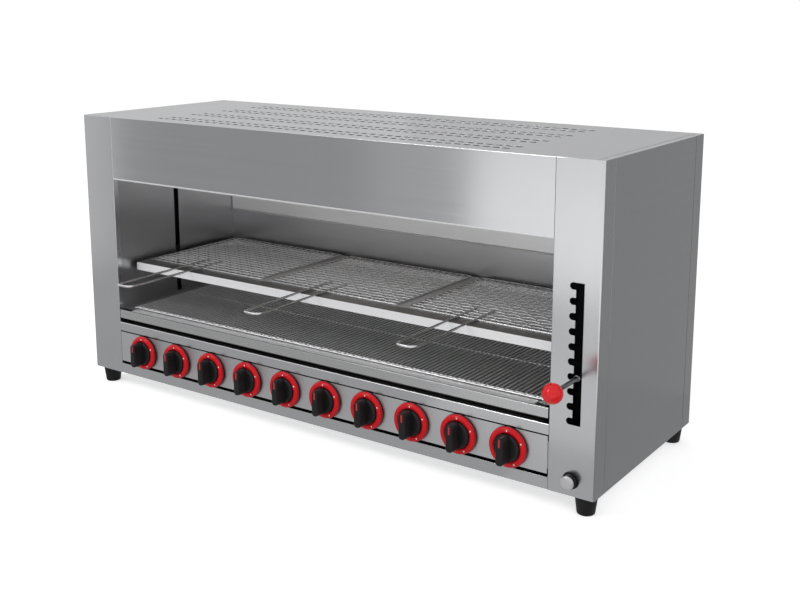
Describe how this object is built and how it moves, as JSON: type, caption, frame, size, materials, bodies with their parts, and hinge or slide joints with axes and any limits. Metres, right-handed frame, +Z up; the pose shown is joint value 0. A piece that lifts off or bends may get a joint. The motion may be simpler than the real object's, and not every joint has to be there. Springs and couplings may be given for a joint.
{
  "type": "gas cheese melter",
  "caption": "Wide stainless salamander grill with overhead infrared burners, a lever-lifted rack with sliding wire racks, lower grid, drip tray and a row of gas knobs.",
  "frame": {"origin": "middle of the whole object's footprint, on the surface that the feet stand on", "axes": "+X to the right seen from the front, along the longest side; +Y from the front to the back; +Z up"},
  "size_m": [1.22, 0.574, 0.6],
  "materials": {
    "stainless_sheet": "brushed along its length, satin",
    "liner_sheet": "brushed, dulled by heat",
    "tray_steel": "brushed, satin",
    "rack_steel": "bright, finely brushed",
    "chrome_wire": "plated wire",
    "grid_wire": "plated wire, darker",
    "chrome_bar": "polished bar",
    "zinc_fixings": "zinc plated",
    "pipe_steel": "dark, satin",
    "burner_casting": "as cast",
    "burner_ceramic": "unglazed, pierced",
    "gas_brass": "machined",
    "foot_rubber": "matt black",
    "lead_rubber": "silicone sleeve",
    "knob_plastic": "black, fine grain",
    "black_plastic": "black",
    "red_plastic": "glossy red",
    "ball_plastic": "glossy red",
    "button_cap": "satin"
  },
  "bodies": {
    "casing": {"base_pan": "stainless_sheet", "left_post": "stainless_sheet", "right_post": "stainless_sheet", "left_side_panel": "stainless_sheet", "right_side_panel": "stainless_sheet", "back_panel": "stainless_sheet", "top_panel": "stainless_sheet", "hood_fascia": "stainless_sheet", "left_inner_wall": "liner_sheet", "right_inner_wall": "liner_sheet", "cavity_back_wall": "liner_sheet", "back_wall_deflector": "liner_sheet", "burner_frame": "liner_sheet", "tray_shelf": "stainless_sheet", "control_panel": "stainless_sheet", "inner_brackets": "liner_sheet", "feet": "foot_rubber", "casing_fixings": "zinc_fixings", "burner_bodies": "burner_casting", "ceramic_tiles": "burner_ceramic", "burner_supply_tubes": "gas_brass", "gas_manifold": "pipe_steel", "gas_valves": "gas_brass", "gas_supply_pipe": "pipe_steel", "gas_inlet": "gas_brass", "cross_light_tube": "liner_sheet", "pilot_feed_tube": "gas_brass", "igniter_body": "black_plastic", "ignition_electrode": "burner_ceramic", "ignition_lead": "lead_rubber", "knob_bezels": "red_plastic", "guide_rods": "chrome_bar", "grid_ledges": "liner_sheet"},
    "knob_1": {"knob_1": "knob_plastic"},
    "knob_2": {"knob_2": "knob_plastic"},
    "knob_3": {"knob_3": "knob_plastic"},
    "knob_4": {"knob_4": "knob_plastic"},
    "knob_5": {"knob_5": "knob_plastic"},
    "knob_6": {"knob_6": "knob_plastic"},
    "knob_7": {"knob_7": "knob_plastic"},
    "knob_8": {"knob_8": "knob_plastic"},
    "knob_9": {"knob_9": "knob_plastic"},
    "knob_10": {"knob_10": "knob_plastic"},
    "igniter_button": {"igniter_button": "black_plastic", "igniter_cap": "button_cap"},
    "rack_carriage": {"rack_frame": "rack_steel", "rack_arms": "pipe_steel", "left_slider": "pipe_steel", "right_slider": "pipe_steel", "lever_pin": "zinc_fixings"},
    "lever": {"lever_rod": "chrome_bar", "ball_knob": "ball_plastic"},
    "left_wire_rack": {"left_wire_rack": "chrome_wire"},
    "middle_wire_rack": {"middle_wire_rack": "chrome_wire"},
    "right_wire_rack": {"right_wire_rack": "chrome_wire"},
    "drip_tray": {"tray_floor": "tray_steel", "tray_side_walls": "tray_steel", "tray_end_walls": "tray_steel", "tray_front": "tray_steel"},
    "lower_grid": {"lower_grid": "grid_wire"}
  },
  "joints": [
    {"name": "knob_1_turn", "type": "hinge", "parent": "casing", "child": "knob_1", "pos_m": [-0.45, -0.163, 0.0945], "axis": [0, 1, 0], "range_deg": [0, 150]},
    {"name": "knob_2_turn", "type": "hinge", "parent": "casing", "child": "knob_2", "pos_m": [-0.35, -0.163, 0.0945], "axis": [0, 1, 0], "range_deg": [0, 150]},
    {"name": "knob_3_turn", "type": "hinge", "parent": "casing", "child": "knob_3", "pos_m": [-0.25, -0.163, 0.0945], "axis": [0, 1, 0], "range_deg": [0, 150]},
    {"name": "knob_4_turn", "type": "hinge", "parent": "casing", "child": "knob_4", "pos_m": [-0.15, -0.163, 0.0945], "axis": [0, 1, 0], "range_deg": [0, 150]},
    {"name": "knob_5_turn", "type": "hinge", "parent": "casing", "child": "knob_5", "pos_m": [-0.05, -0.163, 0.0945], "axis": [0, 1, 0], "range_deg": [0, 150]},
    {"name": "knob_6_turn", "type": "hinge", "parent": "casing", "child": "knob_6", "pos_m": [0.05, -0.163, 0.0945], "axis": [0, 1, 0], "range_deg": [0, 150]},
    {"name": "knob_7_turn", "type": "hinge", "parent": "casing", "child": "knob_7", "pos_m": [0.15, -0.163, 0.0945], "axis": [0, 1, 0], "range_deg": [0, 150]},
    {"name": "knob_8_turn", "type": "hinge", "parent": "casing", "child": "knob_8", "pos_m": [0.25, -0.163, 0.0945], "axis": [0, 1, 0], "range_deg": [0, 150]},
    {"name": "knob_9_turn", "type": "hinge", "parent": "casing", "child": "knob_9", "pos_m": [0.35, -0.163, 0.0945], "axis": [0, 1, 0], "range_deg": [0, 150]},
    {"name": "knob_10_turn", "type": "hinge", "parent": "casing", "child": "knob_10", "pos_m": [0.45, -0.163, 0.0945], "axis": [0, 1, 0], "range_deg": [0, 150]},
    {"name": "igniter_press", "type": "slide", "parent": "casing", "child": "igniter_button", "axis": [0, 1, 0], "range_m": [0, 0.006], "stiffness_N_per_m": 1500, "springref_m": -0.004},
    {"name": "rack_lift", "type": "slide", "parent": "casing", "child": "rack_carriage", "axis": [0, 0, 1], "range_m": [-0.0762, 0.1524]},
    {"name": "lever_swing", "type": "hinge", "parent": "rack_carriage", "child": "lever", "pos_m": [0.574, -0.013, 0.2416], "axis": [0, 0, -1], "range_deg": [0, 4.5]},
    {"name": "left_wire_rack_slide", "type": "slide", "parent": "rack_carriage", "child": "left_wire_rack", "axis": [0, -1, 0], "range_m": [0, 0.2]},
    {"name": "middle_wire_rack_slide", "type": "slide", "parent": "rack_carriage", "child": "middle_wire_rack", "axis": [0, -1, 0], "range_m": [0, 0.2]},
    {"name": "right_wire_rack_slide", "type": "slide", "parent": "rack_carriage", "child": "right_wire_rack", "axis": [0, -1, 0], "range_m": [0, 0.2]},
    {"name": "drip_tray_slide", "type": "slide", "parent": "casing", "child": "drip_tray", "axis": [0, -1, 0], "range_m": [0, 0.3]},
    {"name": "lower_grid_slide", "type": "slide", "parent": "casing", "child": "lower_grid", "axis": [0, -1, 0], "range_m": [0, 0.2]}
  ]
}
